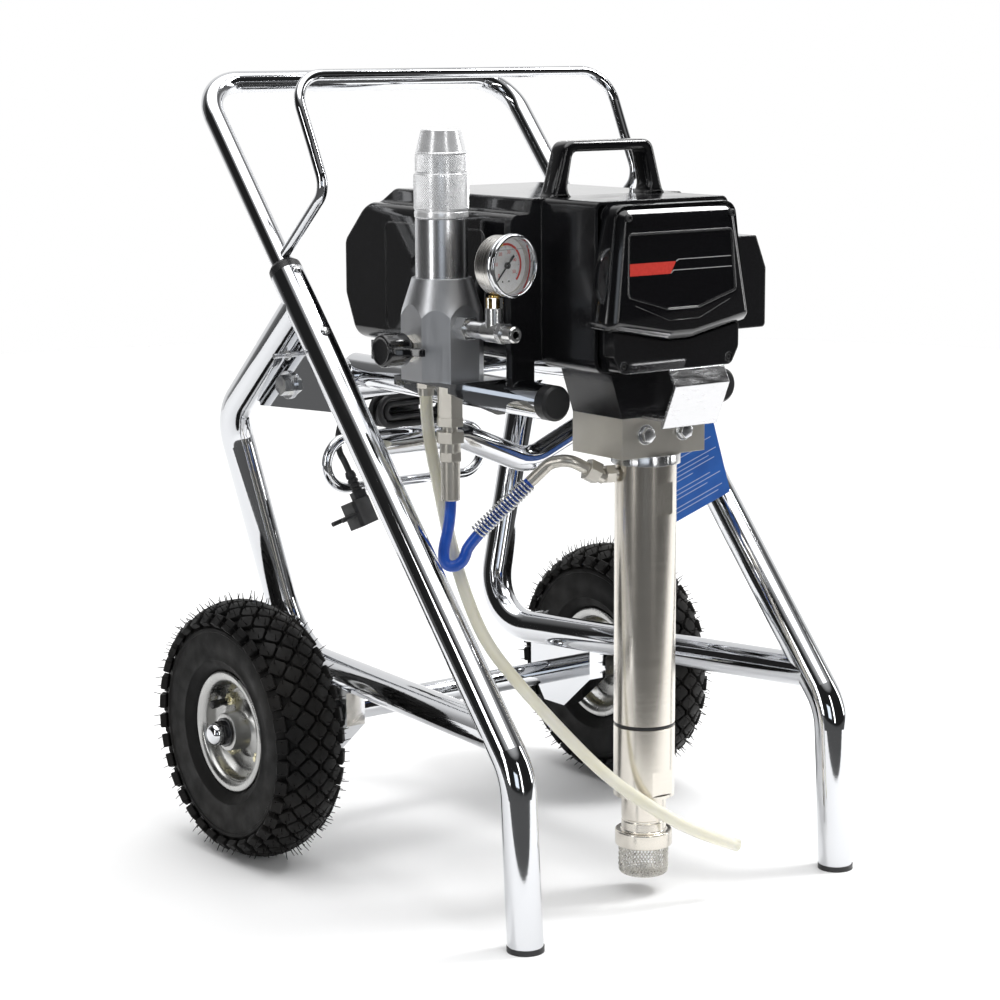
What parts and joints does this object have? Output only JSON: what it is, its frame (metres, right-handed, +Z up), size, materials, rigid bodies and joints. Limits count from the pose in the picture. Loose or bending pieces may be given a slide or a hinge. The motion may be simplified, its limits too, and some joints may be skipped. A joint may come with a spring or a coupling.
{
  "type": "airless paint sprayer",
  "caption": "Electric airless paint sprayer on a wheeled chrome tube cart: tilting motor and piston pump head, filter manifold with gauge, drain tube, telescoping handle and hung power cord.",
  "frame": {"origin": "on the floor, under the middle of the whole object", "axes": "+Z up; -Y is the front, where the pump and the feet are; +X is the right side as seen from the front"},
  "size_m": [0.5688, 0.5663, 0.7814],
  "materials": {
    "chrome": "polished chrome plating",
    "zinc": "zinc-plated steel",
    "steel": "machined steel",
    "stainless": "turned stainless steel",
    "aluminium": "machined aluminium",
    "gauge_steel": "brushed case with a polished rim",
    "rim_silver": "silver paint",
    "tyre_rubber": "matt black rubber with blocks",
    "gloss_black": "glossy black plastic",
    "black_metal": "glossy black paint",
    "matt_black": "matt black plastic",
    "cord_black": "matt black cord sheath",
    "hose_blue": "blue hose cover",
    "clear_tube": "milky clear plastic",
    "tag_blue": "printed blue card",
    "mesh": "woven wire",
    "filter_white": "filter mesh on a white core",
    "needle_black": "black paint",
    "lens": "clear flat glass",
    "laminate": "laminated steel and windings"
  },
  "bodies": {
    "cart": {"leg_tubes": "chrome", "rear_tubes": "chrome", "v_cross_tube": "chrome", "gusset_plates": "chrome", "axle_carrier": "chrome", "wheel_axle": "zinc", "axle_nuts": "chrome", "leg_plugs_and_collars": "matt_black", "frame_fasteners": "zinc"},
    "cradle": {"cradle_frame": "chrome", "rail_caps": "matt_black", "cord_ring": "chrome", "pump_block": "aluminium", "head_fasteners": "zinc", "pump_cylinder": "stainless", "foot_valve": "stainless", "inlet_strainer": "mesh", "pail_hook": "chrome", "motor_stator": "laminate", "front_cover": "gloss_black", "lower_cover": "gloss_black", "gear_housing": "black_metal", "motor_cover": "gloss_black", "carry_handle": "gloss_black", "control_box": "gloss_black", "manifold_block": "aluminium", "filter_tube": "stainless", "filter_cap": "aluminium", "filter_element": "filter_white", "manifold_fittings": "zinc", "gauge_tee": "zinc", "gauge_case": "gauge_steel", "gauge_lens": "lens", "drain_tube": "clear_tube", "pressure_hose": "hose_blue", "spring_guard": "zinc", "inlet_bend": "chrome", "cord_hank": "cord_black", "cord_lead": "cord_black", "cord_tail": "cord_black", "cord_plug": "cord_black", "hang_tag": "tag_blue"},
    "right_wheel": {"right_tyre": "tyre_rubber", "right_rim": "rim_silver"},
    "left_wheel": {"left_tyre": "tyre_rubber", "left_rim": "rim_silver"},
    "handle": {"handle_tube": "chrome", "handle_brace": "chrome"},
    "right_button": {"right_snap_button": "zinc"},
    "left_button": {"left_snap_button": "zinc"},
    "lock_pin_body": {"lock_pin": "zinc"},
    "rotor": {"motor_rotor": "laminate"},
    "reduction": {"reduction_gear": "steel"},
    "crank": {"crank_gear": "steel"},
    "rod": {"connecting_rod": "steel"},
    "piston": {"piston_rod": "chrome"},
    "prime_valve": {"prime_knob": "matt_black"},
    "pressure_control": {"pressure_knob": "matt_black"},
    "switch": {"power_switch": "matt_black"},
    "needle": {"gauge_needle": "needle_black"}
  },
  "joints": [
    {"name": "right_wheel_spin", "type": "hinge", "parent": "cart", "child": "right_wheel", "pos_m": [0.2364, 0.13056, 0.13], "axis": [1, 0, 0], "continuous": true},
    {"name": "left_wheel_spin", "type": "hinge", "parent": "cart", "child": "left_wheel", "pos_m": [-0.2364, 0.13056, 0.13], "axis": [1, 0, 0], "continuous": true},
    {"name": "handle_slide", "type": "slide", "parent": "cart", "child": "handle", "axis": [0, 0.6566, 0.7543], "range_m": [0, 0.075], "deforming": ["right_snap_button", "left_snap_button"]},
    {"name": "right_snap_press", "type": "slide", "parent": "handle", "child": "right_button", "axis": [0, 0.7543, -0.6566], "range_m": [0, 0.006], "stiffness_N_per_m": 1500},
    {"name": "left_snap_press", "type": "slide", "parent": "handle", "child": "left_button", "axis": [0, 0.7543, -0.6566], "range_m": [0, 0.006], "stiffness_N_per_m": 1500},
    {"name": "lock_pin_pull", "type": "slide", "parent": "cart", "child": "lock_pin_body", "axis": [-1, 0, 0], "range_m": [0, 0.016], "stiffness_N_per_m": 800},
    {"name": "cradle_tilt", "type": "hinge", "parent": "cart", "child": "cradle", "pos_m": [0, 0.13206, 0.472], "axis": [-1, 0, 0], "range_deg": [0, 26]},
    {"name": "motor_spin", "type": "hinge", "parent": "cradle", "child": "rotor", "pos_m": [0, -0.07594, 0.57125], "axis": [0, 1, 0], "continuous": true},
    {"name": "reduction_spin", "type": "hinge", "parent": "cradle", "child": "reduction", "pos_m": [-0.0344, -0.15594, 0.55084], "axis": [0, 1, 0], "continuous": true},
    {"name": "crank_spin", "type": "hinge", "parent": "cradle", "child": "crank", "pos_m": [0, -0.16994, 0.6], "axis": [0, 1, 0], "continuous": true},
    {"name": "rod_turn", "type": "hinge", "parent": "crank", "child": "rod", "pos_m": [0, -0.20094, 0.612], "axis": [0, 1, 0], "continuous": true},
    {"name": "piston_slide", "type": "slide", "parent": "cradle", "child": "piston", "axis": [0, 0, 1], "range_m": [-0.024, 0]},
    {"name": "prime_knob_turn", "type": "hinge", "parent": "cradle", "child": "prime_valve", "pos_m": [-0.2, -0.08194, 0.528], "axis": [1, 0, 0], "range_deg": [0, 90]},
    {"name": "pressure_knob_turn", "type": "hinge", "parent": "cradle", "child": "pressure_control", "pos_m": [0.145, -0.16794, 0.566], "axis": [1, 0, 0], "range_deg": [0, 270]},
    {"name": "power_switch_rock", "type": "hinge", "parent": "cradle", "child": "switch", "pos_m": [0.137, -0.19594, 0.566], "axis": [0, 1, 0], "range_deg": [-12, 0]},
    {"name": "gauge_needle_turn", "type": "hinge", "parent": "cradle", "child": "needle", "pos_m": [-0.147, -0.17794, 0.609], "axis": [-0.1392, 0.9903, 0], "range_deg": [0, 270]}
  ],
  "couplings": [
    {"joint": "reduction_spin", "follows": "motor_spin", "ratio": -0.23077},
    {"joint": "crank_spin", "follows": "motor_spin", "ratio": 0.070234},
    {"joint": "rod_turn", "follows": "motor_spin", "ratio": -0.070234}
  ]
}
